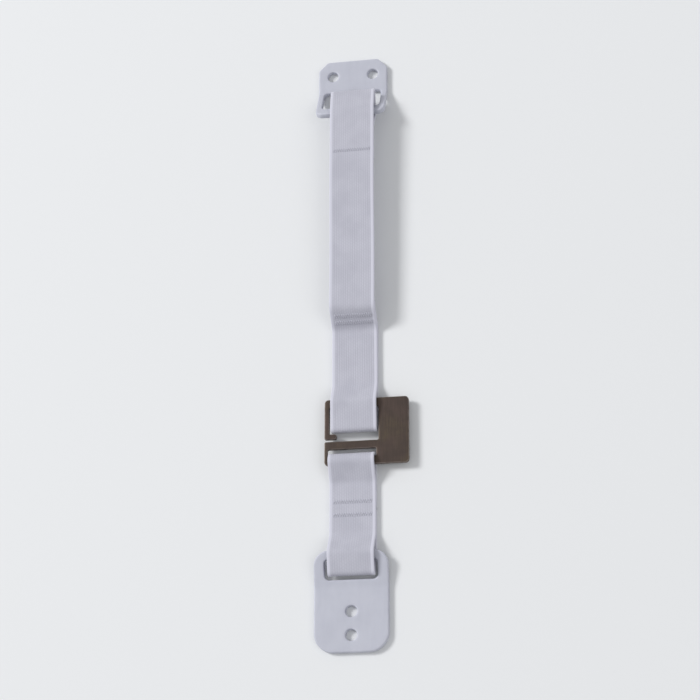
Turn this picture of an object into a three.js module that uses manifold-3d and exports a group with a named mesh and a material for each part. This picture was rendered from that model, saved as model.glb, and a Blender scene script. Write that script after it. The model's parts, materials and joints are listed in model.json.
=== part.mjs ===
// Furniture anti tip strap, lying on its back: a wall bracket, a short length of webbing,
// a steel release buckle, a long length of webbing and a furniture bracket.
// X runs across the strap, Y from the wall bracket to the furniture bracket, Z up.
// The origin is on the back of the wall bracket, midway between its two screw holes.

import * as THREE from 'three';
import { mergeVertices } from 'three/addons/utils/BufferGeometryUtils.js';
import Module from 'manifold-3d';

// Webbing, a woven tape folded round each bar and sewn to itself
const WEBBING_WIDTH = 19;
const WEBBING_THICKNESS = 1.1;
const LAYER_GAP = 0.1;
const BAR_CLEARANCE = 0.3;
const FOLD_RADIUS = 1.3;
const SELVEDGE_ROUND = 0.25;

// What both brackets share. The wider slot and the rails beside it set their width.
const FLANGE_SLOT_SPARE_WIDTH = 6;
const FLANGE_RAIL_WIDTH = 2.5;
const BRACKET_WIDTH = WEBBING_WIDTH + FLANGE_SLOT_SPARE_WIDTH + 2 * FLANGE_RAIL_WIDTH;
const BRACKET_THICKNESS = 2.4;
const BEND_RADIUS = 3;
const SCREW_HOLE_DIAMETER = 4.6;
const SLOT_CORNER_RADIUS = 1.8;

// Wall bracket
const WALL_HOLE_SPACING = 9.4;
const WALL_HOLE_MARGIN = 6.8;
const WALL_PLATE_LENGTH = 26;
const WALL_RISE_ANGLE = THREE.MathUtils.degToRad(10.5);
const WALL_SLOT_SETBACK = 3;
const WALL_SLOT_HEIGHT = 8.2;
const WALL_SLOT_SPARE_WIDTH = 2.4;
const WALL_BAR_HEIGHT = 3.5;
const WALL_FOOT_RADIUS = 8;
const WALL_HEAD_RADIUS = 6;
const WALL_LOOP_GAP = 1.2;

// Furniture bracket
const FURNITURE_HOLE_SPACING = 17.4;
const FURNITURE_HOLE_MARGIN = 7.3;
const FURNITURE_PLATE_LENGTH = 15.9;
const FURNITURE_CORNER_CUT = 4;
const FLANGE_ANGLE = THREE.MathUtils.degToRad(30);
const FLANGE_SLOT_SETBACK = -0.6;
const FLANGE_SLOT_HEIGHT = 12.4;
const FLANGE_BAR_HEIGHT = 4;
const FLANGE_CORNER_RADIUS = 3;
const FURNITURE_LOOP_REACH = 10;

// Buckle, stamped from steel plate
const BUCKLE_THICKNESS = 1.8;
const BUCKLE_EDGE_ROUND = 0.3;
const BUCKLE_CORNER_RADIUS = 1.6;
const BUCKLE_SLOT_RADIUS = 0.6;
const BUCKLE_BAR_HEIGHT = 3.4;
const LOWER_SLOT_HEIGHT = 3.3;
const LOWER_SLOT_SIDE_CLEARANCE = 0.5;
const MIDDLE_BAR_HEIGHT = 3.3;
const RELEASE_SLIT_HEIGHT = 1;
const BARB_HEIGHT = 2.2;
const BARB_WIDTH = 5;
const BARB_TIP_FLAT = 0.2;
const UPPER_SLOT_HEIGHT = 14.5;
const UPPER_SLOT_SIDE_CLEARANCE = 0.6;
const BUCKLE_LEFT_RAIL_WIDTH = 1.3;
const TAB_WIDTH = 12.4;
const UPPER_LOOP_GAP = 3.7;

// Lie of the strap
const LOWER_WEBBING_OFFSET = 0.4;
const UPPER_WEBBING_OFFSET = 1.2;
const LOWER_WEBBING_SPAN = 38.5;
const UPPER_WEBBING_SPAN = 130.3;
const FLAT_RUN_LENGTH = 31;
const RIDGE_RUN_SPACE = 2.5;
const RIDGE_HEIGHT = 10;
const CREASE_RADIUS = 4;
const LANDING_RADIUS = 5;
const LANDING_SPACE = 2;
const FURNITURE_FOLD_BACK = 24;
const CUT_END_SPACE = 1;
const HIDDEN_END = 1;

// Sewing thread
const STITCH_WIDTH = 0.55;
const STITCH_HEIGHT = 0.3;
const STITCH_LENGTH = 2.2;
const STITCH_PITCH = 0.95;
const STITCH_LIFT = 0.05;
const STITCH_EDGE_MARGIN = 1.6;
const RIDGE_SEAM_SPACING = 3.1;

// How finely arcs and holes are divided, and how far cutting shapes reach past what they cut
const ARC_STEP = THREE.MathUtils.degToRad(15);
const HOLE_SIDES = 32;
const CUT_SPARE = 3;
const CUT_DEPTH = 60;

const wasm = await Module();
wasm.setup();

// A closed mesh as a solid that can be joined and cut
function toSolid(geometry) {
  const bare = geometry.clone();
  bare.deleteAttribute('normal');
  bare.deleteAttribute('uv');
  const merged = mergeVertices(bare, 1e-4);
  const vertProperties = new Float32Array(merged.attributes.position.array);
  const triVerts = new Uint32Array(merged.index.array);
  return new wasm.Manifold(new wasm.Mesh({ numProp: 3, vertProperties, triVerts }));
}

// A joined or cut solid as a mesh geometry
function toGeometry(solid) {
  const mesh = solid.getMesh();
  const geometry = new THREE.BufferGeometry();
  geometry.setAttribute('position', new THREE.BufferAttribute(new Float32Array(mesh.vertProperties), 3));
  geometry.setIndex(new THREE.BufferAttribute(new Uint32Array(mesh.triVerts), 1));
  geometry.computeVertexNormals();
  return geometry;
}

// The direction at a right angle to a heading, on its left
function leftNormal(heading) {
  return new THREE.Vector2(-Math.sin(heading), Math.cos(heading));
}

// A path that runs straight between circles and bends round each, as a belt does.
// Each circle has a centre and a radius, positive where the path turns left round it
// and negative where it turns right. A circle of radius 0 is a plain point.
function beltPath(circles) {
  const headings = [];
  for (let i = 0; i + 1 < circles.length; i++) {
    const across = circles[i + 1].centre.clone().sub(circles[i].centre);
    const shift = (circles[i + 1].radius - circles[i].radius) / across.length();
    headings.push(across.angle() - Math.asin(shift));
  }
  const points = [];
  circles.forEach((circle, i) => {
    const first = headings[Math.max(i - 1, 0)];
    const last = headings[Math.min(i, headings.length - 1)];
    const turn = circle.radius === 0 ? 0 : turnBetween(first, last, Math.sign(circle.radius));
    const steps = Math.max(1, Math.ceil(Math.abs(turn) / ARC_STEP));
    const count = turn === 0 ? 0 : steps;
    for (let k = 0; k <= count; k++) {
      const heading = first + (turn * k) / steps;
      points.push(circle.centre.clone().addScaledVector(leftNormal(heading), -circle.radius));
    }
  });
  return points;
}

// The angle turned from one heading to another, going left (1) or right (-1)
function turnBetween(first, last, side) {
  const whole = 2 * Math.PI;
  const left = (((last - first) % whole) + whole) % whole;
  const small = 1e-6;
  if (left < small || whole - left < small) return 0;
  return side > 0 ? left : left - whole;
}

// The closed outline of a strip of even thickness that follows a path
function stripOutline(points, thickness) {
  const left = [];
  const right = [];
  const normals = points.slice(1).map((point, i) => {
    return leftNormal(point.clone().sub(points[i]).angle());
  });
  points.forEach((point, i) => {
    const before = normals[Math.max(i - 1, 0)];
    const after = normals[Math.min(i, normals.length - 1)];
    const middle = before.clone().add(after).normalize();
    const reach = thickness / 2 / middle.dot(before);
    left.push(point.clone().addScaledVector(middle, reach));
    right.push(point.clone().addScaledVector(middle, -reach));
  });
  return left.concat(right.reverse());
}

// A polygon whose corners are rounded to the radius that each one gives
function roundedOutline(corners) {
  const points = [];
  corners.forEach(([x, y, radius], i) => {
    const corner = new THREE.Vector2(x, y);
    const before = new THREE.Vector2(...corners.at(i - 1).slice(0, 2));
    const after = new THREE.Vector2(...corners[(i + 1) % corners.length].slice(0, 2));
    const back = before.sub(corner).normalize();
    const ahead = after.sub(corner).normalize();
    if (radius === 0) {
      points.push(corner);
      return;
    }
    const half = Math.acos(THREE.MathUtils.clamp(back.dot(ahead), -1, 1)) / 2;
    const middle = back.clone().add(ahead).normalize();
    const centre = corner.clone().addScaledVector(middle, radius / Math.sin(half));
    const start = corner.clone().addScaledVector(back, radius / Math.tan(half)).sub(centre);
    const end = corner.clone().addScaledVector(ahead, radius / Math.tan(half)).sub(centre);
    const sweep = Math.atan2(start.cross(end), start.dot(end));
    const steps = Math.max(2, Math.ceil(Math.abs(sweep) / ARC_STEP));
    for (let k = 0; k <= steps; k++) {
      const turned = start.clone().rotateAround(new THREE.Vector2(), (sweep * k) / steps);
      points.push(turned.add(centre));
    }
  });
  return points;
}

// A side view in Y and Z carried across the strap in X
function extrudeAcross(outline, width, centreX, round) {
  const geometry = new THREE.ExtrudeGeometry(new THREE.Shape(outline), {
    depth: width - 2 * round,
    bevelEnabled: round > 0,
    bevelThickness: round,
    bevelSize: round,
    bevelOffset: -round,
    bevelSegments: 2,
  });
  geometry.translate(0, 0, round - width / 2);
  const sideView = new THREE.Matrix4().makeBasis(
    new THREE.Vector3(0, 1, 0),
    new THREE.Vector3(0, 0, 1),
    new THREE.Vector3(1, 0, 0),
  );
  geometry.applyMatrix4(sideView);
  geometry.translate(centreX, 0, 0);
  return geometry;
}

// A bent bracket: a flat screw plate, and beyond a bend a slotted part that rises.
// It is worked out along u, from the plate's free end towards the bar at the other end.
function bentBracket(spec) {
  const half = BRACKET_THICKNESS / 2;
  const bendCentre = new THREE.Vector2(spec.plateLength, half + BEND_RADIUS);
  const bendStart = Math.tan(spec.angle / 2) * BEND_RADIUS;
  const rise = new THREE.Vector2(Math.cos(spec.angle), Math.sin(spec.angle));
  const risingLength = spec.setback + spec.slotHeight + spec.barHeight;
  const corner = new THREE.Vector2(spec.plateLength, half);
  const onRise = (distance) => corner.clone().addScaledVector(rise, distance);
  bendCentre.x -= bendStart;
  const path = beltPath([
    { centre: new THREE.Vector2(-CUT_SPARE, half), radius: 0 },
    { centre: bendCentre, radius: BEND_RADIUS },
    { centre: onRise(risingLength + CUT_SPARE), radius: 0 },
  ]);
  const strip = stripOutline(path, BRACKET_THICKNESS);
  const side = extrudeAcross(strip, BRACKET_WIDTH + CUT_SPARE, 0, 0);

  const reach = spec.plateLength + risingLength + CUT_SPARE;
  const edge = BRACKET_WIDTH / 2;
  const prism = (outline) => {
    const geometry = new THREE.ExtrudeGeometry(new THREE.Shape(outline), {
      depth: CUT_DEPTH,
      bevelEnabled: false,
    });
    geometry.translate(0, 0, -CUT_DEPTH / 2);
    return geometry;
  };
  const plateOutline = prism(roundedOutline([
    ...spec.plateCorners(edge),
    [edge, reach, 0],
    [-edge, reach, 0],
  ]));
  const onFlange = (geometry) => {
    geometry.rotateX(spec.angle);
    geometry.translate(0, corner.x, corner.y);
    return geometry;
  };
  const risingOutline = onFlange(prism(roundedOutline([
    [-edge, -reach, 0],
    [edge, -reach, 0],
    [edge, risingLength, spec.headRadius],
    [-edge, risingLength, spec.headRadius],
  ])));
  const slotEdge = spec.slotWidth / 2;
  const slotTop = spec.setback + spec.slotHeight;
  const slotMiddle = spec.setback + spec.slotHeight / 2;
  const slotStart = onFlange(prism(roundedOutline([
    [-slotEdge, slotMiddle, 0],
    [slotEdge, slotMiddle, 0],
    [slotEdge, slotTop, SLOT_CORNER_RADIUS],
    [-slotEdge, slotTop, SLOT_CORNER_RADIUS],
  ])));
  const slotFirst = corner.x + spec.setback;
  const slotJoin = onRise(slotMiddle + CUT_SPARE / 2).x;
  const slotEnd = prism(roundedOutline([
    [-slotEdge, slotFirst, SLOT_CORNER_RADIUS],
    [slotEdge, slotFirst, SLOT_CORNER_RADIUS],
    [slotEdge, slotJoin, 0],
    [-slotEdge, slotJoin, 0],
  ]));

  let solid = toSolid(side).intersect(toSolid(plateOutline)).intersect(toSolid(risingOutline));
  solid = solid.subtract(toSolid(slotStart)).subtract(toSolid(slotEnd));
  const holeRadius = SCREW_HOLE_DIAMETER / 2;
  for (const [x, u] of spec.holes) {
    const hole = new THREE.CylinderGeometry(holeRadius, holeRadius, CUT_DEPTH, HOLE_SIDES);
    hole.rotateX(Math.PI / 2);
    hole.translate(x, u, 0);
    solid = solid.subtract(toSolid(hole));
  }
  return { geometry: toGeometry(solid), bar: onRise(slotTop + spec.barHeight / 2) };
}

// The path radius that lets a rectangular bar turn inside a fold of webbing
function turningRadius(barHeight, barThickness) {
  return Math.hypot(barHeight, barThickness) / 2 + BAR_CLEARANCE + WEBBING_THICKNESS / 2;
}

// A bar of stitches across the webbing: one thread that runs to and fro along it.
// The place is a point on the webbing's outer face, and the heading is that face's slope.
function stitchBar(place, heading, centreX) {
  const span = WEBBING_WIDTH - 2 * STITCH_EDGE_MARGIN;
  const count = Math.floor(span / STITCH_PITCH) + 1;
  const thread = [];
  for (let i = 0; i < count; i++) {
    const x = (i - (count - 1) / 2) * STITCH_PITCH;
    const side = i % 2 === 0 ? -1 : 1;
    const halfLength = (STITCH_LENGTH - STITCH_WIDTH) / 2;
    thread.push(new THREE.Vector2(x, side * halfLength), new THREE.Vector2(x, -side * halfLength));
  }
  const outline = new THREE.Shape(stripOutline(thread, STITCH_WIDTH));
  const bar = new THREE.ExtrudeGeometry(outline, { depth: STITCH_HEIGHT, bevelEnabled: false });
  bar.translate(0, 0, STITCH_LIFT);
  bar.rotateX(heading);
  bar.translate(centreX, place.x, place.y);
  return bar;
}

const whitePlastic = new THREE.MeshStandardMaterial({ color: 0xc9ccd6, roughness: 0.45, metalness: 0 });
const whiteWebbing = new THREE.MeshStandardMaterial({ color: 0xd6d6de, roughness: 0.85, metalness: 0 });
const bronzedSteel = new THREE.MeshStandardMaterial({ color: 0x4f443d, roughness: 0.4, metalness: 0.9 });
const whiteThread = new THREE.MeshStandardMaterial({ color: 0xdedee4, roughness: 0.7, metalness: 0 });

// Wall bracket, with its two screw holes in line along the strap
const wallFoot = -(WALL_HOLE_MARGIN + WALL_HOLE_SPACING / 2);
const wallBracket = bentBracket({
  plateLength: WALL_PLATE_LENGTH,
  angle: WALL_RISE_ANGLE,
  setback: WALL_SLOT_SETBACK,
  slotHeight: WALL_SLOT_HEIGHT,
  slotWidth: WEBBING_WIDTH + WALL_SLOT_SPARE_WIDTH,
  barHeight: WALL_BAR_HEIGHT,
  headRadius: WALL_HEAD_RADIUS,
  plateCorners: (edge) => [[-edge, 0, WALL_FOOT_RADIUS], [edge, 0, WALL_FOOT_RADIUS]],
  holes: [[0, WALL_HOLE_MARGIN], [0, WALL_HOLE_MARGIN + WALL_HOLE_SPACING]],
});
wallBracket.geometry.translate(0, wallFoot, 0);
const wallBar = new THREE.Vector2(wallFoot + wallBracket.bar.x, wallBracket.bar.y);

// Buckle places, with the webbing under its bars lying on the surface
const buckleTurn = turningRadius(BUCKLE_BAR_HEIGHT, BUCKLE_THICKNESS);
const buckleLevel = buckleTurn + WEBBING_THICKNESS / 2;
const lowerBar = new THREE.Vector2(wallBar.x + LOWER_WEBBING_SPAN, buckleLevel);
const buckleBottom = lowerBar.x - BUCKLE_BAR_HEIGHT / 2;
const lowerSlotBottom = buckleBottom + BUCKLE_BAR_HEIGHT;
const lowerSlotTop = lowerSlotBottom + LOWER_SLOT_HEIGHT;
const upperSlotBottom = lowerSlotTop + MIDDLE_BAR_HEIGHT;
const upperSlotTop = upperSlotBottom + UPPER_SLOT_HEIGHT;
const buckleTop = upperSlotTop + BUCKLE_BAR_HEIGHT;
const upperBar = new THREE.Vector2(upperSlotTop + BUCKLE_BAR_HEIGHT / 2, buckleLevel);

// Furniture bracket, with its two screw holes side by side across the strap
const furnitureBracket = bentBracket({
  plateLength: FURNITURE_PLATE_LENGTH,
  angle: FLANGE_ANGLE,
  setback: FLANGE_SLOT_SETBACK,
  slotHeight: FLANGE_SLOT_HEIGHT,
  slotWidth: WEBBING_WIDTH + FLANGE_SLOT_SPARE_WIDTH,
  barHeight: FLANGE_BAR_HEIGHT,
  headRadius: FLANGE_CORNER_RADIUS,
  plateCorners: (edge) => [
    [-edge, FURNITURE_CORNER_CUT, 0],
    [FURNITURE_CORNER_CUT - edge, 0, 0],
    [edge - FURNITURE_CORNER_CUT, 0, 0],
    [edge, FURNITURE_CORNER_CUT, 0],
  ],
  holes: [
    [-FURNITURE_HOLE_SPACING / 2, FURNITURE_HOLE_MARGIN],
    [FURNITURE_HOLE_SPACING / 2, FURNITURE_HOLE_MARGIN],
  ],
});
const flangeBar = new THREE.Vector2(upperBar.x + UPPER_WEBBING_SPAN, furnitureBracket.bar.y);
furnitureBracket.geometry.rotateZ(Math.PI);
furnitureBracket.geometry.translate(0, flangeBar.x + furnitureBracket.bar.x, 0);

// Heights of the middle of each layer where the webbing lies flat
const backLayer = WEBBING_THICKNESS / 2;
const layerStep = WEBBING_THICKNESS + LAYER_GAP;
const frontLayer = backLayer + layerStep;
const foldReach = FOLD_RADIUS + WEBBING_THICKNESS / 2;

// How far from a bar the layers come together, and the circle that they land on there
function landingDistance(turn) {
  return turn + LANDING_RADIUS + LANDING_SPACE;
}

function landing(y) {
  return { centre: new THREE.Vector2(y, frontLayer + LANDING_RADIUS), radius: LANDING_RADIUS };
}

// Lower webbing: its cut ends meet under the middle of the front layer
const wallTurn = turningRadius(WALL_BAR_HEIGHT, BRACKET_THICKNESS);
const wallLoopReach = WALL_BAR_HEIGHT / 2 + WALL_SLOT_HEIGHT - WALL_LOOP_GAP;
const wallFold = new THREE.Vector2(wallBar.x - wallLoopReach + foldReach, wallBar.y);
const lowerMiddle = (wallBar.x + lowerBar.x) / 2;
const lowerPath = beltPath([
  { centre: new THREE.Vector2(lowerMiddle - CUT_END_SPACE / 2, backLayer), radius: 0 },
  { centre: wallBar, radius: -wallTurn },
  { centre: wallFold, radius: -FOLD_RADIUS },
  { centre: wallBar, radius: -wallTurn },
  landing(wallBar.x + landingDistance(wallTurn)),
  landing(lowerBar.x - landingDistance(buckleTurn)),
  { centre: lowerBar, radius: -buckleTurn },
  { centre: new THREE.Vector2(lowerMiddle + CUT_END_SPACE / 2, backLayer), radius: 0 },
]);
const lowerWebbing = extrudeAcross(
  stripOutline(lowerPath, WEBBING_THICKNESS), WEBBING_WIDTH, LOWER_WEBBING_OFFSET, SELVEDGE_ROUND,
);

// Upper webbing: doubled and sewn at each end, one layer thick between
const flangeTurn = turningRadius(FLANGE_BAR_HEIGHT, BRACKET_THICKNESS);
const foot = new THREE.Vector2(upperBar.x + FLAT_RUN_LENGTH, frontLayer + CREASE_RADIUS);
const ridge = new THREE.Vector2(
  foot.x + 2 * CREASE_RADIUS + RIDGE_RUN_SPACE, RIDGE_HEIGHT - WEBBING_THICKNESS / 2 - CREASE_RADIUS,
);
const upperLoopReach = BUCKLE_BAR_HEIGHT / 2 + UPPER_SLOT_HEIGHT - UPPER_LOOP_GAP;
const upperFold = new THREE.Vector2(upperBar.x - upperLoopReach + foldReach, upperBar.y);
const flangeFold = new THREE.Vector2(flangeBar.x + FURNITURE_LOOP_REACH - foldReach, flangeBar.y);
const spanHeading = (() => {
  const across = flangeBar.clone().sub(ridge);
  return across.angle() - Math.asin((CREASE_RADIUS - flangeTurn) / across.length());
})();
const spanOut = leftNormal(spanHeading);
const spanAlong = new THREE.Vector2(Math.cos(spanHeading), Math.sin(spanHeading));
const overBar = flangeBar.clone().addScaledVector(spanOut, flangeTurn);
const underSpan = overBar.clone().addScaledVector(spanOut, -layerStep);
const joinCircle = underSpan.clone()
  .addScaledVector(spanAlong, -landingDistance(flangeTurn))
  .addScaledVector(spanOut, -LANDING_RADIUS);
const upperPath = beltPath([
  { centre: new THREE.Vector2(ridge.x + HIDDEN_END, ridge.y + CREASE_RADIUS - layerStep), radius: 0 },
  { centre: ridge, radius: CREASE_RADIUS - layerStep },
  { centre: foot, radius: -(CREASE_RADIUS + layerStep) },
  { centre: upperBar, radius: -buckleTurn },
  { centre: upperFold, radius: -FOLD_RADIUS },
  { centre: upperBar, radius: -buckleTurn },
  landing(upperBar.x + landingDistance(buckleTurn)),
  { centre: foot, radius: CREASE_RADIUS },
  { centre: ridge, radius: -CREASE_RADIUS },
  { centre: flangeBar, radius: -flangeTurn },
  { centre: flangeFold, radius: -FOLD_RADIUS },
  { centre: flangeBar, radius: -flangeTurn },
  { centre: joinCircle, radius: LANDING_RADIUS },
  { centre: underSpan.clone().addScaledVector(spanAlong, -FURNITURE_FOLD_BACK), radius: 0 },
]);
const upperWebbing = extrudeAcross(
  stripOutline(upperPath, WEBBING_THICKNESS), WEBBING_WIDTH, UPPER_WEBBING_OFFSET, SELVEDGE_ROUND,
);

// Buckle outline: a hook that starts from the tab, and a slit above the middle bar that frees it
const lowerSlotLeft = LOWER_WEBBING_OFFSET - WEBBING_WIDTH / 2 - LOWER_SLOT_SIDE_CLEARANCE;
const lowerSlotRight = LOWER_WEBBING_OFFSET + WEBBING_WIDTH / 2 + LOWER_SLOT_SIDE_CLEARANCE;
const upperSlotLeft = UPPER_WEBBING_OFFSET - WEBBING_WIDTH / 2 - UPPER_SLOT_SIDE_CLEARANCE;
const upperSlotRight = UPPER_WEBBING_OFFSET + WEBBING_WIDTH / 2 + UPPER_SLOT_SIDE_CLEARANCE;
const buckleLeft = lowerSlotLeft - BUCKLE_LEFT_RAIL_WIDTH;
const buckleRight = upperSlotRight + TAB_WIDTH;
const slitTop = upperSlotBottom + RELEASE_SLIT_HEIGHT;
const barbTop = slitTop + BARB_HEIGHT;
const barbTip = buckleLeft + BARB_WIDTH;
const barbRound = (BARB_HEIGHT - BARB_TIP_FLAT) / 2;
const buckleShape = new THREE.Shape(roundedOutline([
  [buckleLeft, buckleBottom, BUCKLE_CORNER_RADIUS],
  [buckleRight, buckleBottom, BUCKLE_CORNER_RADIUS],
  [buckleRight, buckleTop, BUCKLE_CORNER_RADIUS],
  [buckleLeft, buckleTop, BUCKLE_CORNER_RADIUS],
  [buckleLeft, slitTop, BUCKLE_SLOT_RADIUS],
  [barbTip, slitTop, barbRound],
  [barbTip, barbTop, barbRound],
  [upperSlotLeft, barbTop, BUCKLE_SLOT_RADIUS],
  [upperSlotLeft, upperSlotTop, BUCKLE_SLOT_RADIUS],
  [upperSlotRight, upperSlotTop, BUCKLE_SLOT_RADIUS],
  [upperSlotRight, upperSlotBottom, BUCKLE_SLOT_RADIUS],
  [buckleLeft, upperSlotBottom, BUCKLE_SLOT_RADIUS],
]));
buckleShape.holes.push(new THREE.Path(roundedOutline([
  [lowerSlotLeft, lowerSlotBottom, BUCKLE_SLOT_RADIUS],
  [lowerSlotLeft, lowerSlotTop, BUCKLE_SLOT_RADIUS],
  [lowerSlotRight, lowerSlotTop, BUCKLE_SLOT_RADIUS],
  [lowerSlotRight, lowerSlotBottom, BUCKLE_SLOT_RADIUS],
])));
const buckle = new THREE.ExtrudeGeometry(buckleShape, {
  depth: BUCKLE_THICKNESS - 2 * BUCKLE_EDGE_ROUND,
  bevelEnabled: true,
  bevelThickness: BUCKLE_EDGE_ROUND,
  bevelSize: BUCKLE_EDGE_ROUND,
  bevelOffset: -BUCKLE_EDGE_ROUND,
  bevelSegments: 2,
});
buckle.translate(0, 0, buckleLevel - BUCKLE_THICKNESS / 2 + BUCKLE_EDGE_ROUND);

// Stitching: two rows over the lower webbing's cut ends, two on the ridge slope, one by the flange
const flatFace = frontLayer + WEBBING_THICKNESS / 2;
const lowerSeams = [-1, 1].map((side) => {
  const place = new THREE.Vector2(lowerMiddle + side * (CUT_END_SPACE / 2 + STITCH_LENGTH), flatFace);
  return stitchBar(place, 0, LOWER_WEBBING_OFFSET);
});
const slopeHeading = (() => {
  const across = ridge.clone().sub(foot);
  return across.angle() + Math.asin((2 * CREASE_RADIUS) / across.length());
})();
const slopeOut = leftNormal(slopeHeading);
const slopeAlong = new THREE.Vector2(Math.cos(slopeHeading), Math.sin(slopeHeading));
const slopeMiddle = foot.clone().add(ridge).multiplyScalar(0.5)
  .addScaledVector(slopeOut, WEBBING_THICKNESS / 2);
const ridgeSeams = [-1, 1].map((side) => {
  const place = slopeMiddle.clone().addScaledVector(slopeAlong, (side * RIDGE_SEAM_SPACING) / 2);
  return stitchBar(place, slopeHeading, UPPER_WEBBING_OFFSET);
});
const flangeSeamPlace = overBar.clone()
  .addScaledVector(spanOut, WEBBING_THICKNESS / 2)
  .addScaledVector(spanAlong, -(FURNITURE_FOLD_BACK - 2 * STITCH_LENGTH));
const flangeSeam = stitchBar(flangeSeamPlace, spanHeading, UPPER_WEBBING_OFFSET);

const strap = new THREE.Group();
function addNode(name, geometry, material) {
  const mesh = new THREE.Mesh(geometry, material);
  mesh.name = name;
  strap.add(mesh);
}

addNode('wall_bracket', wallBracket.geometry, whitePlastic);
addNode('lower_webbing', lowerWebbing, whiteWebbing);
addNode('lower_seam_wall_side', lowerSeams[0], whiteThread);
addNode('lower_seam_buckle_side', lowerSeams[1], whiteThread);
addNode('buckle', buckle, bronzedSteel);
addNode('upper_webbing', upperWebbing, whiteWebbing);
addNode('ridge_seam_lower', ridgeSeams[0], whiteThread);
addNode('ridge_seam_upper', ridgeSeams[1], whiteThread);
addNode('furniture_seam', flangeSeam, whiteThread);
addNode('furniture_bracket', furnitureBracket.geometry, whitePlastic);

export default strap;
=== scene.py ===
"""Furniture anti tip strap: two moulded brackets, two lengths of sewn webbing and a steel buckle.

Everything is in metres. X runs across the strap towards the buckle's tab, Y runs along it from
the wall bracket to the furniture bracket, and Z points out of the brackets' fronts.
"""

import json

import bmesh
import bpy
import numpy as np
from mathutils import Matrix, Vector
from mathutils.geometry import delaunay_2d_cdt


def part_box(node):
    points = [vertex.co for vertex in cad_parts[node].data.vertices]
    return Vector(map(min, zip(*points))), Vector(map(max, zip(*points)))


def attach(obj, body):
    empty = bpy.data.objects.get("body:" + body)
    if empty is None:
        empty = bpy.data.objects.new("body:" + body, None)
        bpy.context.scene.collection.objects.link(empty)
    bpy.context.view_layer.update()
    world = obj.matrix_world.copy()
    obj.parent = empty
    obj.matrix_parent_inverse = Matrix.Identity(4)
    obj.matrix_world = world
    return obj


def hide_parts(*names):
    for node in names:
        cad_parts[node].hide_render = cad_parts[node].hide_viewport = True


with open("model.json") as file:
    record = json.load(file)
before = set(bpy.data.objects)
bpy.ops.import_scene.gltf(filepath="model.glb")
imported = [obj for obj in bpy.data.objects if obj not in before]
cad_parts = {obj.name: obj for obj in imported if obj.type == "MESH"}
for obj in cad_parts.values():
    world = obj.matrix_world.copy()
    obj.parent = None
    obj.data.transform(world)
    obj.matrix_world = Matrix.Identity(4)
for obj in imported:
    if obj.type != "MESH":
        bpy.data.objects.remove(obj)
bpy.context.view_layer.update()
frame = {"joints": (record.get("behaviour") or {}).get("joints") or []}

# The viewpoint: above the wall bracket's end and a little to the right, looking along the strap,
# with the strap upright in the picture and filling most of its height.
turn_right = np.radians(10.71)
tip_back = np.radians(20.28)
roll = np.radians(0.2)
aim = Vector((-0.0005, 0.1132, 0.004))
viewing_distance = 0.783
lens_length = 98
film_width = 36

towards_eye = Vector(
    (
        np.sin(turn_right) * np.cos(tip_back),
        -np.sin(tip_back),
        np.cos(turn_right) * np.cos(tip_back),
    )
)
level = Vector((0, 1, 0)).cross(towards_eye).normalized()
upright = towards_eye.cross(level)
picture_right = level * np.cos(roll) + upright * np.sin(roll)
picture_up = upright * np.cos(roll) - level * np.sin(roll)
camera = bpy.data.objects.new("camera", bpy.data.cameras.new("camera"))
camera.data.lens = lens_length
camera.data.sensor_width = film_width
camera.matrix_world = Matrix.Translation(aim + towards_eye * viewing_distance) @ Matrix(
    (picture_right, picture_up, towards_eye)
).transposed().to_4x4()
bpy.context.scene.collection.objects.link(camera)
bpy.context.scene.camera = camera


# Soft studio light: a wide lamp high on the left gives the strap its shadow on the right, a weak
# one on the right opens that shadow, and an even pale surround does the rest.
def lamp(name, place, target, size, power):
    """A square lamp at one point that faces another."""
    light = bpy.data.lights.new(name, "AREA")
    light.size = size
    light.energy = power
    holder = bpy.data.objects.new(name, light)
    holder.location = place
    holder.rotation_mode = "QUATERNION"
    holder.rotation_quaternion = (target - Vector(place)).to_track_quat("-Z", "Y")
    bpy.context.scene.collection.objects.link(holder)


lamp("key_lamp", place=(-3.0, 1.4, 2.9), target=aim, size=1.2, power=122)
lamp("fill_lamp", place=(2.8, -1.2, 3.0), target=aim, size=2.4, power=24)
bpy.context.scene.view_settings.view_transform = "Standard"


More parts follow.
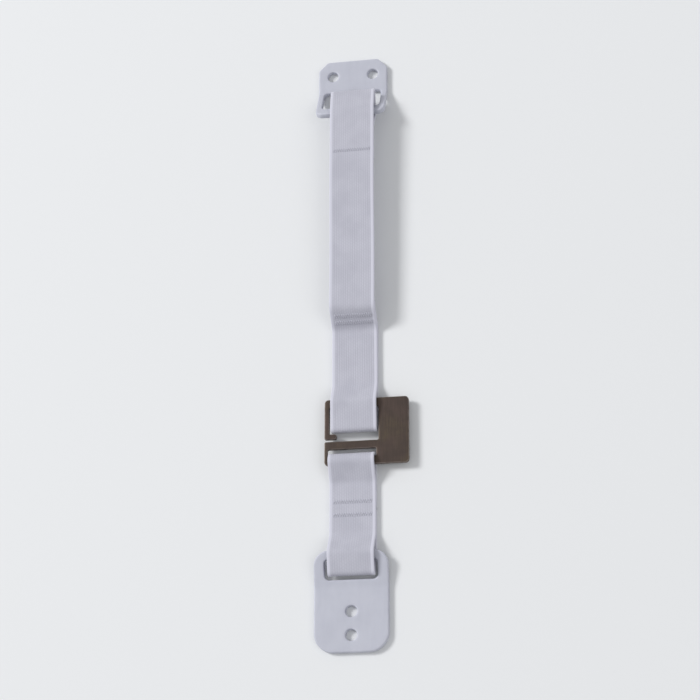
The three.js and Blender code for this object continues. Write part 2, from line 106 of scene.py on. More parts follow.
class Wire:
    """A socket of a material, which can be added, multiplied and so on like a number."""

    def __init__(self, tree, socket=None):
        self.tree = tree
        self.socket = socket

    def node(self, kind, settings, values, output=0):
        """Adds a node of this kind, with its settings set first and then its sockets.

        The output is the number or the name of the socket that the new wire holds.
        """
        made = self.tree.nodes.new(kind)
        for name, setting in settings.items():
            setattr(made, name, setting)
        for name, value in values.items():
            if isinstance(value, Wire):
                self.tree.links.new(value.socket, made.inputs[name])
            else:
                made.inputs[name].default_value = value
        return Wire(self.tree, made.outputs[output])

    def maths(self, operation, *values):
        return self.node("ShaderNodeMath", {"operation": operation}, dict(enumerate(values)))

    def __add__(self, other):
        return self.maths("ADD", self, other)

    __radd__ = __add__

    def __sub__(self, other):
        return self.maths("SUBTRACT", self, other)

    def __rsub__(self, other):
        return self.maths("SUBTRACT", other, self)

    def __mul__(self, other):
        return self.maths("MULTIPLY", self, other)

    __rmul__ = __mul__

    def __truediv__(self, other):
        return self.maths("DIVIDE", self, other)

    def noise(self, scale, detail=3.0, roughness=0.55):
        """Soft random values from 0 to 1 over this place."""
        values = {"Vector": self, "Scale": scale, "Detail": detail, "Roughness": roughness}
        return self.node("ShaderNodeTexNoise", {}, values)

    def between(self, low, high):
        """0 up to the low value, 1 from the high value on, and a smooth rise between."""
        settings = {"interpolation_type": "SMOOTHSTEP"}
        values = {"Value": self, "From Min": low, "From Max": high}
        return self.node("ShaderNodeMapRange", settings, values)

    def blend(self, first, second):
        """One colour where this is 0 and the other where it is 1."""
        values = {"Factor": self, 6: first, 7: second}
        return self.node("ShaderNodeMix", {"data_type": "RGBA"}, values, output=2)

    def bump(self, depth, strength=1.0, under=None):
        """A surface normal from a height of 0 to 1, where 1 stands this deep proud."""
        values = {"Height": self, "Distance": depth, "Strength": strength}
        if under is not None:
            values["Normal"] = under
        return self.node("ShaderNodeBump", {}, values)

    def into(self, shader, name):
        self.tree.links.new(self.socket, shader.inputs[name])


def new_finish(name):
    """A material with its main shader, and a wire to start its nodes from."""
    finish = bpy.data.materials.new(name)
    finish.use_nodes = True
    return finish, finish.node_tree.nodes["Principled BSDF"], Wire(finish.node_tree)


# The pale table top that the strap lies on, and the pale surround behind it.
table_size = 3
lighting_strength = 0.5
seen_strength = 0.85
table_mesh = bpy.data.meshes.new("table_top")
corners = np.array([[-1, -1, 0], [1, -1, 0], [1, 1, 0], [-1, 1, 0]]) * table_size / 2
table_mesh.from_pydata(corners.tolist(), [], [[0, 1, 2, 3]])
table_top = bpy.data.objects.new("table_top", table_mesh)
bpy.context.scene.collection.objects.link(table_top)
pale, pale_shader, wire = new_finish("pale_table")
pale_shader.inputs["Base Color"].default_value = (0.8, 0.81, 0.82, 1)
pale_shader.inputs["Roughness"].default_value = 0.7
pale_shader.inputs["Specular IOR Level"].default_value = 0.2
table_mesh.materials.append(pale)

surround = bpy.data.worlds.new("surround")
surround.use_nodes = True
backdrop = surround.node_tree.nodes["Background"]
backdrop.inputs["Color"].default_value = (0.97, 0.98, 1, 1)
wire = Wire(surround.node_tree)
light_path = wire.node("ShaderNodeLightPath", {}, {}, output="Is Camera Ray")
rays = light_path.socket.node.outputs
mirrored = Wire(wire.tree, rays["Is Glossy Ray"]) + Wire(wire.tree, rays["Is Transmission Ray"])
seen = light_path.maths("MINIMUM", light_path + mirrored, 1)
(lighting_strength + seen * (seen_strength - lighting_strength)).into(backdrop, "Strength")
bpy.context.scene.world = surround


# Wall bracket: one plate of white plastic, injection moulded with softly rounded edges. Two screw
# holes in line hold it flat on the wall, and its slotted end rises a little to clear the webbing.
def new_piece(name, points, faces, finish, body, node, slot, **attributes):
    """A closed, smooth shaded mesh from arrays of points and faces, riding on its body."""
    mesh = bpy.data.meshes.new(name)
    mesh.from_pydata(points.tolist(), [], faces)
    for label, values in attributes.items():
        layer = mesh.attributes.new(label, "FLOAT_VECTOR", "POINT")
        layer.data.foreach_set("vector", np.ascontiguousarray(values, np.float32).ravel())
    shell = bmesh.new()
    shell.from_mesh(mesh)
    bmesh.ops.recalc_face_normals(shell, faces=shell.faces)
    shell.to_mesh(mesh)
    shell.free()
    mesh.shade_smooth()
    mesh.materials.append(finish)
    piece = bpy.data.objects.new(name, mesh)
    bpy.context.scene.collection.objects.link(piece)
    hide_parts(node)
    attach(piece, body)
    return piece


def outline(corners, spacing=0.0006):
    """A closed outline as points x + y*1j, from corners of (x, y, radius).

    Each corner becomes an arc whose centre lies on the corner's bisector, radius / sin(half
    the corner's angle) away, and the straight sides get points at about the given spacing.
    """
    points = []
    places = np.array([x + y * 1j for x, y, radius in corners])
    for i, (x, y, radius) in enumerate(corners):
        back = places[i - 1] - places[i]
        ahead = places[(i + 1) % len(places)] - places[i]
        back, ahead = back / abs(back), ahead / abs(ahead)
        half = np.arccos(np.clip((back * ahead.conjugate()).real, -1, 1)) / 2
        middle = (back + ahead) / abs(back + ahead)
        centre = places[i] + middle * radius / np.sin(half)
        start = places[i] + back * radius / np.tan(half) - centre
        end = places[i] + ahead * radius / np.tan(half) - centre
        sweep = np.angle(end / start)
        steps = max(4, int(np.ceil(abs(sweep) * radius / spacing * 2)))
        points.append(centre + start * np.exp(1j * sweep * np.linspace(0, 1, steps + 1)))
    sides = []
    for i, arc in enumerate(points):
        nearest = points[(i + 1) % len(points)][0]
        count = max(1, int(round(abs(nearest - arc[-1]) / spacing)))
        straight = arc[-1] + (nearest - arc[-1]) * np.arange(1, count) / count
        sides += [arc, straight]
    return np.concatenate(sides)


def circle(centre, radius, count=48):
    """A round hole, walked clockwise so that the material is on the left."""
    return centre + radius * np.exp(-2j * np.pi * np.arange(count) / count)


def inside(loops, points):
    """Whether each point lies in the material.

    It does where a line to its right crosses the loops an odd number of times.
    """
    starts = np.concatenate(loops)
    ends = np.concatenate([np.roll(loop, -1) for loop in loops])
    level = points.imag[:, None]
    spans = (starts.imag > level) != (ends.imag > level)
    rise = np.where(starts.imag == ends.imag, 1, ends.imag - starts.imag)
    crossing = starts.real + (ends.real - starts.real) * (level - starts.imag) / rise
    return (spans & (crossing > points.real[:, None])).sum(axis=1) % 2 == 1


rounding_steps = 6
grid_clearance = 0.6
weld_distance = 1e-7


def plate(loops, thickness, edge_round, spacing=0.001):
    """A plate from its outline and holes, as arrays of points (x, y, height), faces and edge.

    Every loop is walked with the material on its left. At each step of a quarter circle the
    loop is moved into the material by radius * (1 - sin) and sits radius * (1 - cos) below the
    face. The two flat faces are filled with triangles on the innermost loops and on a grid.
    Height is measured from the plate's middle. Edge is 1 on the rounding and 0 on the faces.
    """
    step = np.linspace(0, np.pi / 2, rounding_steps)
    insets = edge_round * (1 - np.sin(step))
    heights = thickness / 2 - edge_round * (1 - np.cos(step))
    insets = np.concatenate([insets, insets[::-1]])
    heights = np.concatenate([heights, -heights[::-1]])
    points, faces, flat_loops, count = [], [], [], 0
    for loop in loops:
        along = np.roll(loop, -1) - loop
        normal = 1j * along / np.abs(along)
        both = normal + np.roll(normal, 1)
        mitre = 2 * both / np.abs(both) ** 2
        rings = loop[None, :] + insets[:, None] * mitre[None, :]
        level = np.broadcast_to(heights[:, None], rings.shape)
        points.append(np.stack([rings.real, rings.imag, level], axis=-1).reshape(-1, 3))
        here = count + np.arange(rings.size).reshape(rings.shape)
        beside = np.roll(here, -1, axis=1)
        quads = np.stack([here[:-1], beside[:-1], beside[1:], here[1:]], axis=-1)
        faces += quads.reshape(-1, 4).tolist()
        flat_loops.append(rings[0])
        count += rings.size

    rim = np.concatenate(flat_loops)
    low, high = rim.real.min() + rim.imag.min() * 1j, rim.real.max() + rim.imag.max() * 1j
    grid_x, grid_y = np.meshgrid(
        np.arange(low.real, high.real, spacing), np.arange(low.imag, high.imag, spacing)
    )
    grid = (grid_x + 1j * grid_y).ravel()
    clear = np.abs(grid[:, None] - rim[None, :]).min(axis=1) > grid_clearance * spacing
    grid = grid[clear & inside(flat_loops, grid)]
    flat = np.concatenate([rim, grid])
    firsts = np.cumsum([0] + [len(loop) for loop in flat_loops[:-1]])
    edges = np.concatenate(
        [
            first + np.stack([np.arange(len(loop)), np.roll(np.arange(len(loop)), -1)], axis=-1)
            for first, loop in zip(firsts, flat_loops)
        ]
    )
    pairs = np.stack([flat.real, flat.imag], axis=-1)
    filled = delaunay_2d_cdt(list(map(Vector, pairs.tolist())), edges.tolist(), [], 0, 1e-9)
    corners = np.array(filled[0])
    triangles = np.array(filled[2])
    middles = corners[triangles].mean(axis=1)
    triangles = triangles[inside(flat_loops, middles[:, 0] + 1j * middles[:, 1])]
    for side in (1, -1):
        level = np.full(len(corners), side * thickness / 2)
        points.append(np.column_stack([corners, level]))
        faces += (triangles[:, ::side] + count).tolist()
        count += len(corners)

    points = np.concatenate(points)
    edge = np.zeros((len(points), 3))
    on_rounding = slice(0, count - 2 * len(corners))
    below_face = thickness / 2 - np.abs(points[on_rounding, 2])
    edge[on_rounding, 0] = below_face > edge_round * 0.01
    return points, faces, edge


def welded(points, faces, edge):
    """The same surface with the points that share a place made one."""
    keys = np.round(points / weld_distance).astype(np.int64)
    _, first, where = np.unique(keys, axis=0, return_index=True, return_inverse=True)
    where = where.ravel()
    joined = [where[face].tolist() for face in faces]
    return points[first], joined, edge[first]


def bent(along, height, thickness, start, angle, radius):
    """The side view of a plate that is bent up, as y and z.

    It is flat up to the start, then goes round an arc whose centre lies one radius above the
    plate's middle, and then straight on at the angle. Height is measured from the middle.
    """
    turn = np.clip((along - start) / radius, 0, angle)
    beyond = np.maximum(along - start - radius * angle, 0)
    reach = radius - height
    y = np.minimum(along, start) + reach * np.sin(turn) + beyond * np.cos(angle)
    z = thickness / 2 + radius - reach * np.cos(turn) + beyond * np.sin(angle)
    return y, z


def moulded_plastic(name, colour, shadow):
    """White satin plastic: a fine moulded grain, faint flow marks and a painted highlight along
    the rounded edges.
    """
    finish, shader, wire = new_finish(name)
    place = wire.node("ShaderNodeTexCoord", {}, {}, output=3)
    cloud = place.noise(cloud_scale, detail=2)
    grain = place.noise(grain_scale, detail=2, roughness=0.6)
    along_it = {"Vector": place, "Scale": (1, flow_stretch, 1)}
    flow = place.node("ShaderNodeMapping", {}, along_it).noise(flow_scale, detail=2)
    edge = wire.node("ShaderNodeAttribute", {"attribute_name": "edge"}, {}, output=2)
    tone = (cloud * 0.6 + flow * 0.4).between(0.3, 0.7)
    # Painted highlight: the rounded edges are made lighter in broken patches, as if light catches
    # them.
    highlit_edge = edge * place.noise(edge_highlight_scale).between(0.35, 0.65)
    body_colour = tone.blend(shadow, colour)
    bright = tuple(min(1, c * edge_highlight_gain) for c in colour[:3]) + (1,)
    (highlit_edge * 0.7).blend(body_colour, bright).into(shader, "Base Color")
    (satin_roughness + cloud * 0.1 - highlit_edge * 0.1).into(shader, "Roughness")
    swell = cloud.bump(swell_depth, strength=0.25)
    grain.bump(grain_depth, strength=0.35, under=swell).into(shader, "Normal")
    shader.inputs["IOR"].default_value = 1.49
    shader.inputs["Subsurface Weight"].default_value = 0.08
    shader.inputs["Subsurface Radius"].default_value = (0.002, 0.002, 0.002)
    shader.inputs["Subsurface Scale"].default_value = 1
    return finish


bracket_width = 0.03
bracket_thickness = 0.0024
bracket_edge = 0.0006
bend_radius = 0.003
screw_hole = 0.0023
slot_corner = 0.0018
plastic_white = (0.52, 0.53, 0.6, 1)
plastic_shade = (0.48, 0.49, 0.56, 1)
satin_roughness = 0.42
# How much lighter the painted edge highlight makes the plastic.
edge_highlight_gain = 1.3
cloud_scale = 90
grain_scale = 2600
flow_scale = 420
flow_stretch = 0.25
edge_highlight_scale = 260
swell_depth = 0.0002
grain_depth = 0.00003

wall_plate = 0.026
wall_angle = np.radians(10.5)
wall_holes = (0.0068, 0.0162)
wall_slot_half = 0.0107
wall_slot_start = 0.003
wall_slot_end = 0.0112
wall_rise = 0.0147
wall_foot_radius = 0.008
wall_head_radius = 0.006
wall_bend = wall_plate - bend_radius * np.tan(wall_angle / 2)
beyond_bend = wall_bend + bend_radius * (wall_angle - np.tan(wall_angle / 2))
side = bracket_width / 2
wall_loops = [
    outline(
        [
            (-side, 0, wall_foot_radius),
            (side, 0, wall_foot_radius),
            (side, beyond_bend + wall_rise, wall_head_radius),
            (-side, beyond_bend + wall_rise, wall_head_radius),
        ]
    ),
    outline(
        [
            (-wall_slot_half, beyond_bend + wall_slot_start, slot_corner),
            (-wall_slot_half, beyond_bend + wall_slot_end, slot_corner),
            (wall_slot_half, beyond_bend + wall_slot_end, slot_corner),
            (wall_slot_half, beyond_bend + wall_slot_start, slot_corner),
        ]
    ),
    *(circle(1j * place, screw_hole) for place in wall_holes),
]
points, faces, edge = plate(wall_loops, bracket_thickness, bracket_edge)
y, z = bent(points[:, 1], points[:, 2], bracket_thickness, wall_bend, wall_angle, bend_radius)
wall_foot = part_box("wall_bracket")[0].y
points, faces, edge = welded(np.column_stack([points[:, 0], wall_foot + y, z]), faces, edge)
new_piece(
    "wall_plate",
    points,
    faces,
    moulded_plastic("wall_plastic", plastic_white, plastic_shade),
    "wall_end",
    "wall_bracket",
    "bracket_plastic",
    edge=edge,
)


# Lower webbing: one short length of woven white tape. It goes round the wall bracket's bar and the
# buckle's bottom bar, and its cut ends meet under the front layer, where two seams close it.
arc_points = 60


def belt(circles, spacing):
    """The line of a belt in the side view, as points y + z*1j at even spacing.

    Each circle is a centre and a radius, positive where the belt turns left round it, negative
    where it turns right and 0 for a plain point. A straight run's heading is the angle from one
    centre to the next, less the arcsine of the step in radius over their distance.
    """
    centres = np.array([centre for centre, radius in circles])
    radii = np.array([radius for centre, radius in circles])
    across = np.diff(centres)
    headings = np.angle(across) - np.arcsin(np.diff(radii) / np.abs(across))
    first = np.concatenate([headings[:1], headings])
    last = np.concatenate([headings, headings[-1:]])
    turns = (last - first + 1e-6) % (2 * np.pi) - 1e-6
    turns = np.where((radii < 0) & (turns > 1e-5), turns - 2 * np.pi, turns) * (radii != 0)
    arcs = [
        centre - radius * 1j * np.exp(1j * (start + turn * np.linspace(0, 1, arc_points)))
        for centre, radius, start, turn in zip(centres, radii, first, turns)
    ]
    line = np.concatenate(arcs)
    line = line[np.concatenate([[True], np.abs(np.diff(line)) > 1e-9])]
    length = np.concatenate([[0], np.cumsum(np.abs(np.diff(line)))])
    stations = np.linspace(0, length[-1], int(round(length[-1] / spacing)) + 1)
    even = np.interp(stations, length, line.real) + 1j * np.interp(stations, length, line.imag)
    return even, stations


def tape(line, stations, width, thickness, centre_x, sway):
    """Woven tape carried along a line in the side view, as points, faces and weave.

    The section's half thickness is largest in the rolled selvedges and a little less between
    them. Warp cords of even pitch stand on it as rounded ribs, height = |cos(pi * across /
    pitch)| ** rib_sharpness, and it closes at each selvedge along a quarter circle. The line
    is moved to each side by the section along its own normal, and the whole tape sways a
    little in x. Weave is (across, along, 0), in metres.
    """
    half = thickness / 2
    half_width = width / 2
    even = np.linspace(-half_width + selvedge_round, half_width - selvedge_round, face_columns)
    quarter = np.linspace(0, np.pi / 2, rounding_steps)[1:]
    lip = half_width - selvedge_round + selvedge_round * np.sin(quarter)
    across = np.concatenate([-lip[::-1], even, lip])
    roll_over = np.clip((np.abs(across) - half_width + selvedge_round) / selvedge_round, 0, 1)
    closing = np.sqrt(np.maximum(1 - roll_over**2, 0))
    bead = np.clip((np.abs(across) - half_width + selvedge_band) / selvedge_step, 0, 1)
    ribs = np.abs(np.cos(np.pi * across / warp_pitch)) ** rib_sharpness
    between = half - web_sink * (1 - bead) - rib_depth * (1 - ribs) * (1 - bead)
    top = between * closing
    ring_across = np.concatenate([across, across[-2:0:-1]])
    ring_out = np.concatenate([top, -top[-2:0:-1]])

    heading = np.gradient(line)
    normal = 1j * heading / np.abs(heading)
    middle = line[:, None] + ring_out[None, :] * normal[:, None]
    x = centre_x + ring_across[None, :] + sway(stations)[:, None]
    points = np.stack([x, middle.real, middle.imag], axis=-1).reshape(-1, 3)
    around = len(ring_across)
    here = np.arange(len(line) * around).reshape(len(line), around)
    beside = np.roll(here, -1, axis=1)
    quads = np.stack([here[:-1], beside[:-1], beside[1:], here[1:]], axis=-1).reshape(-1, 4)
    faces = quads.tolist()
    columns = np.arange(len(across))
    under = (around - columns) % around
    for ring in (here[0], here[-1]):
        cap = np.stack([columns[1:-2], columns[2:-1], under[2:-1], under[1:-2]], axis=-1)
        ends = [[0, 1, under[1]], [columns[-2], columns[-1], under[-2]]]
        faces += ring[cap].tolist() + ring[np.array(ends)].tolist()
    weave = np.zeros((len(line), around, 3))
    weave[..., 0] = ring_across
    weave[..., 1] = stations[:, None]
    return points, faces, weave.reshape(-1, 3)


def woven_tape(name, colour, shadow):
    """White woven tape: weft picks cross the warp cords in turn, with fine fibres along them.
    Painted shade darkens the low places of the weave, and a painted highlight lightens both
    selvedges.

    Cords are numbered from the middle, and an even shift keeps the numbers above 0, so that
    their remainder by 2 tells neighbours apart on both sides.
    """
    finish, shader, wire = new_finish(name)
    weave = wire.node("ShaderNodeAttribute", {"attribute_name": "weave"}, {}, output=1)
    split = weave.node("ShaderNodeSeparateXYZ", {}, {0: weave})
    across = split
    along = Wire(split.tree, split.socket.node.outputs[1])
    cord = across / warp_pitch
    column = cord.maths("FLOOR", cord + 0.5)
    turn_about = column.maths("MODULO", column + even_shift, 2)
    rib = cord.maths("ABSOLUTE", cord.maths("COSINE", cord * np.pi))
    pick = along.maths("SINE", along * (2 * np.pi / weft_pitch) + turn_about * np.pi) * 0.5 + 0.5
    along_it = {"Vector": weave, "Scale": (1, fibre_stretch, 1)}
    fibre = weave.node("ShaderNodeMapping", {}, along_it).noise(fibre_scale, roughness=0.65)
    cloud = weave.noise(shading_scale, detail=2)
    selvedge = across.maths("ABSOLUTE", across).between(
        tape_width / 2 - selvedge_band, tape_width / 2 - selvedge_band + selvedge_step
    )
    height = (rib * 0.35 + pick * rib * 0.65) * (1 - selvedge * 0.55) + fibre * 0.22
    # Painted shade: the low places between cords and picks are darkened.
    hollow = 1 - height.between(0.15, 0.75)
    tone = (cloud.between(0.25, 0.75) * 0.5 + 0.5) * (1 - hollow * 0.4)
    cloth = tone.blend(shadow, colour)
    # Painted highlight: both selvedges are made lighter, as if their rolled edges catch the light.
    bright = tuple(min(1, c * selvedge_highlight_gain) for c in colour[:3]) + (1,)
    (selvedge * 0.8).blend(cloth, bright).into(shader, "Base Color")
    (cloth_roughness + fibre * 0.18).into(shader, "Roughness")
    height.bump(weave_depth, strength=0.4).into(shader, "Normal")
    shader.inputs["Specular IOR Level"].default_value = 0.35
    shader.inputs["Sheen Weight"].default_value = 0.25
    shader.inputs["Sheen Roughness"].default_value = 0.45
    return finish


def joint_place(name):
    """Where a joint's axis crosses the side view, as y + z*1j."""
    for joint in frame["joints"]:
        if joint["name"] == name:
            return joint["pos_m"][1] + joint["pos_m"][2] * 1j


tape_width = 0.019
tape_thickness = 0.0011
layer_gap = 0.0001
fold_radius = 0.0013
selvedge_round = 0.00045
selvedge_band = 0.0016
selvedge_step = 0.0005
warp_pitch = 0.00095
weft_pitch = 0.0013
rib_depth = 0.00005
rib_sharpness = 0.7
face_columns = 117
even_shift = 200
fibre_scale = 5200
fibre_stretch = 0.12
shading_scale = 110
# How much lighter the painted selvedge highlight makes the tape.
selvedge_highlight_gain = 1.25
weave_depth = 0.00012
cloth_roughness = 0.72
web_sink = 0.00006
station_spacing = 0.0007
tape_white = (0.53, 0.53, 0.6, 1)
tape_shade = (0.42, 0.42, 0.485, 1)
landing_radius = 0.005
landing_space = 0.002
bar_clearance = 0.0003

layer_step = tape_thickness + layer_gap
back_layer = tape_thickness / 2
front_layer = back_layer + layer_step
fold_reach = fold_radius + tape_thickness / 2


def turning_radius(bar_height, bar_thickness):
    """The radius of the tape's middle round a rectangular bar that can turn inside it."""
    return np.hypot(bar_height, bar_thickness) / 2 + bar_clearance + tape_thickness / 2


def landing(y):
    """The circle on which the front layer comes down on the back one."""
    return (y + 1j * (front_layer + landing_radius), landing_radius)


wall_bar = joint_place("wall_bar_turn")
lower_bar = joint_place("buckle_lower_bar_turn")
wall_bar_height = 0.0035
buckle_bar_height = 0.0034
buckle_thickness = 0.0018
wall_turn = turning_radius(wall_bar_height, bracket_thickness)
buckle_turn = turning_radius(buckle_bar_height, buckle_thickness)
wall_loop_reach = 0.00875
cut_end_space = 0.001
lower_offset = 0.0004
lower_sway = 0.00006
lower_sway_rate = 140
lower_middle = (wall_bar.real + lower_bar.real) / 2
apart = landing_radius + landing_space
lower_line, lower_stations = belt(
    [
        (lower_middle - cut_end_space / 2 + 1j * back_layer, 0),
        (wall_bar, -wall_turn),
        (wall_bar - wall_loop_reach + fold_reach, -fold_radius),
        (wall_bar, -wall_turn),
        landing(wall_bar.real + wall_turn + apart),
        landing(lower_bar.real - buckle_turn - apart),
        (lower_bar, -buckle_turn),
        (lower_middle + cut_end_space / 2 + 1j * back_layer, 0),
    ],
    station_spacing,
)
points, faces, weave = tape(
    lower_line,
    lower_stations,
    tape_width,
    tape_thickness,
    lower_offset,
    lambda station: lower_sway * np.sin(station * lower_sway_rate),
)
short_tape = new_piece(
    "short_tape",
    points,
    faces,
    woven_tape("short_tape_weave", tape_white, tape_shade),
    "lower_strap",
    "lower_webbing",
    "webbing",
    weave=weave,
)


# Lower seams: two rows of zigzag stitches in white thread, one over each of the tape's cut ends.
# Each stitch is a pull of two-ply thread that sinks into the tape at both ends.
def stitch_row(place, heading, centre_x):
    """A row of stitches as points, faces and twist.

    A stitch runs from one side of the row to the other and back, a step further on in x. Its
    height follows sqrt(sin(pi * part)) over its length and starts a little under the tape's
    face. Its section is a circle whose radius swells twice a turn, radius * (1 + ply_swell *
    cos(2 * angle - ply_twist * length)), as two plied yarns do.
    """
    span = tape_width - 2 * stitch_margin
    count = int(span // stitch_pitch) + 1
    index = np.arange(2 * count - 1)
    left_end = (index - (2 * count - 2) / 2) * stitch_pitch / 2
    slant = np.where(index % 2 == 0, 1, -1)
    part = np.linspace(0, 1, stitch_rings)
    angle = np.linspace(0, 2 * np.pi, thread_sides, endpoint=False)
    run = (stitch_length - thread_radius * 2) * (part - 0.5)
    lift = (np.sin(np.pi * part) ** 0.5 * stitch_rise - stitch_sink) * thread_radius
    taper = np.sqrt(np.clip(1 - (2 * part - 1) ** 8, 0.02, 1))
    twist = stitch_length * part * ply_twist
    ply = 1 + ply_swell * np.cos(2 * angle[None, :] - twist[:, None])
    radius = thread_radius * taper[:, None] * ply
    across = left_end[:, None] + stitch_pitch / 2 * (part[None, :] - 0.5)
    x = across[:, :, None] + (radius * np.cos(angle))[None]
    along = slant[:, None, None] * run[None, :, None] + np.zeros_like(x)
    out = (lift[:, None] + radius * np.sin(angle))[None] + np.zeros_like(x)
    middle = place + np.exp(1j * heading) * (along + 1j * out)
    points = np.stack([centre_x + x, middle.real, middle.imag], axis=-1).reshape(-1, 3)
    here = np.arange(x.size).reshape(x.shape)
    beside = np.roll(here, -1, axis=2)
    sides = np.stack([here[:, :-1], beside[:, :-1], beside[:, 1:], here[:, 1:]], axis=-1)
    faces = sides.reshape(-1, 4).tolist() + here[:, 0, :].tolist() + here[:, -1, ::-1].tolist()
    strand = np.zeros(x.shape + (3,))
    strand[..., 0] = twist[None, :, None]
    strand[..., 1] = angle
    return points, faces, strand.reshape(-1, 3)


def sewing_thread(name):
    """White spun thread, with painted shade in the groove between its two plies."""
    finish, shader, wire = new_finish(name)
    place = wire.node("ShaderNodeTexCoord", {}, {}, output=3)
    strand = wire.node("ShaderNodeAttribute", {"attribute_name": "strand"}, {}, output=1)
    split = strand.node("ShaderNodeSeparateXYZ", {}, {0: strand})
    round_it = Wire(split.tree, split.socket.node.outputs[1])
    # Painted shade in the groove between the two plies.
    groove = split.maths("COSINE", round_it * 2 - split) * 0.5 + 0.5
    fuzz = place.noise(fuzz_scale, detail=2)
    (groove * 0.7 + fuzz * 0.3).blend(thread_shade, thread_white).into(shader, "Base Color")
    (0.6 + fuzz * 0.2).into(shader, "Roughness")
    fuzz.bump(fuzz_depth, strength=0.5).into(shader, "Normal")
    shader.inputs["Sheen Weight"].default_value = 0.3
    return finish


thread_radius = 0.00015
thread_sides = 10
stitch_rings = 13
stitch_rise = 1.1
stitch_sink = 0.8
ply_swell = 0.16
ply_twist = 5200
fuzz_scale = 6000
fuzz_depth = 0.00003
stitch_margin = 0.0016
stitch_pitch = 0.00095
stitch_length = 0.0022
thread_white = (0.58, 0.58, 0.65, 1)
thread_shade = (0.53, 0.53, 0.6, 1)
tape_face = front_layer + tape_thickness / 2
thread = sewing_thread("white_thread")
for seam, direction in (("lower_seam_wall_side", -1), ("lower_seam_buckle_side", 1)):
    seam_y = lower_middle + direction * (cut_end_space / 2 + stitch_length)
    points, faces, strand = stitch_row(seam_y + 1j * tape_face, 0, lower_offset)
    new_piece(
        seam + "_stitches", points, faces, thread, "lower_strap", seam, "thread", strand=strand
    )


# Buckle: one plate of steel, stamped with slightly rounded edges and bronzed. The short tape is
# sewn into the closed slot, and the long one hooks in through the slit past a rounded barb.
def bronzed_steel(name):
    """Dark bronze finish on steel: satin, faintly streaked, paler along the edges, partly worn
    finish and partly painted highlight.
    """
    finish, shader, wire = new_finish(name)
    place = wire.node("ShaderNodeTexCoord", {}, {}, output=3)
    edge = wire.node("ShaderNodeAttribute", {"attribute_name": "edge"}, {}, output=2)
    cloud = place.noise(patina_scale, detail=4, roughness=0.6)
    along_it = {"Vector": place, "Scale": (1, streak_stretch, 1)}
    streak = place.node("ShaderNodeMapping", {}, along_it).noise(streak_scale)
    speck = place.noise(speck_scale, detail=2).between(0.6, 0.75)
    tone = (cloud * 0.6 + streak * 0.4).between(0.35, 0.65)
    warmth = place.noise(warmth_scale, detail=2).between(0.4, 0.6)
    metal = warmth.blend(tone.blend(bronze_dark, bronze), tone.blend(bronze_dark, bronze_golden))
    # Paler edges in broken patches: partly worn bronze and partly a painted highlight.
    highlit_edge = edge * place.noise(edge_wear_and_highlight_scale).between(0.25, 0.55)
    (highlit_edge * 0.85).blend(metal, bronze_wear_and_highlight).into(shader, "Base Color")
    (bronze_roughness - highlit_edge * 0.12 + streak * 0.08 + speck * 0.1).into(shader, "Roughness")
    (streak * 0.5 + speck * 0.5).bump(streak_depth, strength=0.4).into(shader, "Normal")
    shader.inputs["Metallic"].default_value = 0.65
    return finish


bronze = (0.07, 0.048, 0.04, 1)
bronze_golden = (0.078, 0.058, 0.038, 1)
bronze_dark = (0.05, 0.036, 0.03, 1)
# Edge colour: the paler worn metal, also standing in for a painted highlight.
bronze_wear_and_highlight = (0.42, 0.36, 0.32, 1)
bronze_roughness = 0.46
patina_scale = 120
streak_scale = 1900
streak_stretch = 0.06
speck_scale = 3400
warmth_scale = 55
edge_wear_and_highlight_scale = 420
streak_depth = 0.00002
buckle_edge = 0.00032
buckle_corner = 0.0016
small_corner = 0.0006
lower_slot_height = 0.0033
middle_bar_height = 0.0033
slit_height = 0.001
barb_height = 0.0022
barb_width = 0.005
barb_corner = 0.001
left_rail = 0.0013
tab_width = 0.0124
upper_slot_height = 0.0145
slot_half = tape_width / 2
lower_spare = 0.0005
upper_spare = 0.0006
upper_offset = 0.0012

bottom = lower_bar.real - buckle_bar_height / 2
slot_1 = bottom + buckle_bar_height
slot_1_top = slot_1 + lower_slot_height
slot_2 = slot_1_top + middle_bar_height
slot_2_top = slot_2 + upper_slot_height
buckle_top = slot_2_top + buckle_bar_height
slot_1_left = lower_offset - slot_half - lower_spare
slot_1_right = lower_offset + slot_half + lower_spare
slot_2_left = upper_offset - slot_half - upper_spare
slot_2_right = upper_offset + slot_half + upper_spare
left = slot_1_left - left_rail
right = slot_2_right + tab_width
slit_top = slot_2 + slit_height
barb_top = slit_top + barb_height
barb_tip = left + barb_width
buckle_spacing = 0.0005
buckle_loops = [
    outline(
        [
            (left, bottom, buckle_corner),
            (right, bottom, buckle_corner),
            (right, buckle_top, buckle_corner),
            (left, buckle_top, buckle_corner),
            (left, slit_top, small_corner),
            (barb_tip, slit_top, barb_corner),
            (barb_tip, barb_top, barb_corner),
            (slot_2_left, barb_top, small_corner),
            (slot_2_left, slot_2_top, small_corner),
            (slot_2_right, slot_2_top, small_corner),
            (slot_2_right, slot_2, small_corner),
            (left, slot_2, small_corner),
        ],
        buckle_spacing,
    ),
    outline(
        [
            (slot_1_left, slot_1, small_corner),
            (slot_1_left, slot_1_top, small_corner),
            (slot_1_right, slot_1_top, small_corner),
            (slot_1_right, slot_1, small_corner),
        ],
        buckle_spacing,
    ),
]
points, faces, edge = plate(buckle_loops, buckle_thickness, buckle_edge)
points, faces, edge = welded(points + [0, 0, lower_bar.imag], faces, edge)
new_piece(
    "steel_buckle",
    points,
    faces,
    bronzed_steel("bronzed_steel"),
    "buckle",
    "buckle",
    "buckle_steel",
    edge=edge,
)


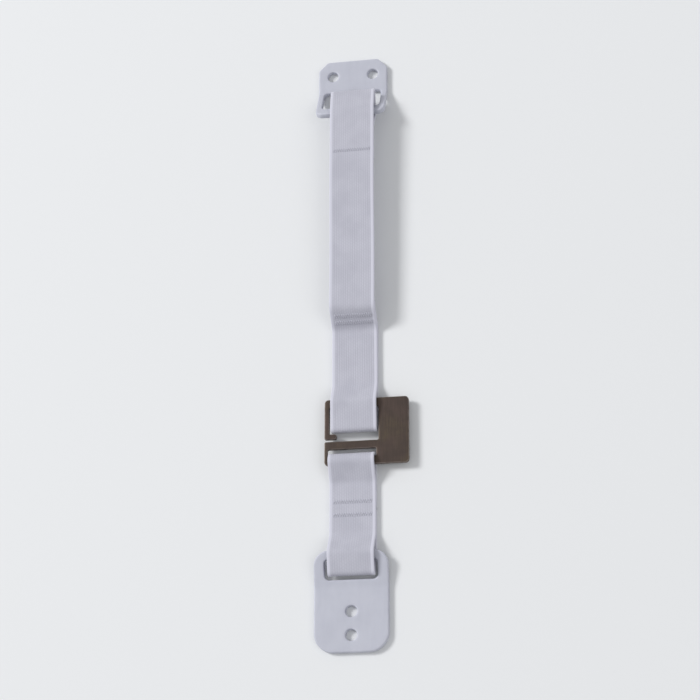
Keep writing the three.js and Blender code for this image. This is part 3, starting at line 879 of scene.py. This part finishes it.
# Upper webbing: one long length of the same tape. It is looped round the buckle's top bar and the
# furniture bracket's bar, folded back under itself at both ends, and sewn on the short slope.
upper_bar = joint_place("buckle_upper_bar_turn")
flange_bar = joint_place("furniture_bar_turn")
flange_bar_height = 0.004
flange_turn = turning_radius(flange_bar_height, bracket_thickness)
upper_loop_reach = 0.0125
furniture_loop_reach = 0.01
flat_run = 0.031
ridge_run = 0.0025
ridge_height = 0.01
crease_radius = 0.004
fold_back = 0.024
hidden_end = 0.001
upper_sway = 0.00008
upper_sway_rate = 95

foot = upper_bar.real + flat_run + 1j * (front_layer + crease_radius)
ridge_middle = ridge_height - tape_thickness / 2 - crease_radius
ridge = foot.real + 2 * crease_radius + ridge_run + 1j * ridge_middle
to_flange = flange_bar - ridge
span_heading = np.angle(to_flange) - np.arcsin((crease_radius - flange_turn) / abs(to_flange))
span_along = np.exp(1j * span_heading)
over_bar = flange_bar + 1j * span_along * flange_turn
under_span = over_bar - 1j * span_along * layer_step
join = under_span - span_along * (flange_turn + apart) - 1j * span_along * landing_radius
upper_line, upper_stations = belt(
    [
        (ridge + hidden_end + 1j * (crease_radius - layer_step), 0),
        (ridge, crease_radius - layer_step),
        (foot, -(crease_radius + layer_step)),
        (upper_bar, -buckle_turn),
        (upper_bar - upper_loop_reach + fold_reach, -fold_radius),
        (upper_bar, -buckle_turn),
        landing(upper_bar.real + buckle_turn + apart),
        (foot, crease_radius),
        (ridge, -crease_radius),
        (flange_bar, -flange_turn),
        (flange_bar + furniture_loop_reach - fold_reach, -fold_radius),
        (flange_bar, -flange_turn),
        (join, landing_radius),
        (under_span - span_along * fold_back, 0),
    ],
    station_spacing,
)
points, faces, weave = tape(
    upper_line,
    upper_stations,
    tape_width,
    tape_thickness,
    upper_offset,
    lambda station: upper_sway * np.sin(station * upper_sway_rate + 1),
)
long_tape = new_piece(
    "long_tape",
    points,
    faces,
    woven_tape("long_tape_weave", tape_white, tape_shade),
    "upper_strap",
    "upper_webbing",
    "webbing",
    weave=weave,
)


# Upper seams: two rows of the same stitches across the short slope beside the buckle, and one row
# that closes the loop at the furniture bracket.
to_ridge = ridge - foot
slope_heading = np.angle(to_ridge) + np.arcsin(2 * crease_radius / abs(to_ridge))
slope_along = np.exp(1j * slope_heading)
slope_face = (foot + ridge) / 2 + 1j * slope_along * tape_thickness / 2
row_shift = 0.00155
furniture_row = over_bar + 1j * span_along * tape_thickness / 2
furniture_row -= span_along * (fold_back - 2 * stitch_length)
for seam, place, heading in (
    ("ridge_seam_lower", slope_face - slope_along * row_shift, slope_heading),
    ("ridge_seam_upper", slope_face + slope_along * row_shift, slope_heading),
    ("furniture_seam", furniture_row, span_heading),
):
    points, faces, strand = stitch_row(place, heading, upper_offset)
    new_piece(
        seam + "_stitches", points, faces, thread, "upper_strap", seam, "thread", strand=strand
    )


# Furniture bracket: one plate of the same white plastic. Two screw holes side by side hold it
# flat, two corners are cut off, and beyond its bend a slotted flange rises to the webbing.
furniture_plate = 0.0159
flange_angle = np.radians(30)
corner_cut = 0.004
cut_round = 0.002
hole_apart = 0.0174
hole_margin = 0.0073
flange_slot_half = 0.0125
flange_slot_start = -0.0006
flange_slot_end = 0.0118
flange_rise = 0.0158
flange_corner = 0.003
flange_bend = furniture_plate - bend_radius * np.tan(flange_angle / 2)
beyond_bend = flange_bend + bend_radius * (flange_angle - np.tan(flange_angle / 2))
furniture_loops = [
    outline(
        [
            (-side, corner_cut, cut_round),
            (-side + corner_cut, 0, cut_round),
            (side - corner_cut, 0, cut_round),
            (side, corner_cut, cut_round),
            (side, beyond_bend + flange_rise, flange_corner),
            (-side, beyond_bend + flange_rise, flange_corner),
        ]
    ),
    outline(
        [
            (-flange_slot_half, furniture_plate + flange_slot_start, slot_corner),
            (-flange_slot_half, beyond_bend + flange_slot_end, slot_corner),
            (flange_slot_half, beyond_bend + flange_slot_end, slot_corner),
            (flange_slot_half, furniture_plate + flange_slot_start, slot_corner),
        ]
    ),
    *(circle(x + 1j * hole_margin, screw_hole) for x in (-hole_apart / 2, hole_apart / 2)),
]
points, faces, edge = plate(furniture_loops, bracket_thickness, bracket_edge)
y, z = bent(points[:, 1], points[:, 2], bracket_thickness, flange_bend, flange_angle, bend_radius)
furniture_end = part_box("furniture_bracket")[1].y
points, faces, edge = welded(
    np.column_stack([-points[:, 0], furniture_end - y, z]), faces, edge
)
new_piece(
    "furniture_plate",
    points,
    faces,
    moulded_plastic("furniture_plastic", plastic_white, plastic_shade),
    "furniture_end",
    "furniture_bracket",
    "bracket_plastic",
    edge=edge,
)
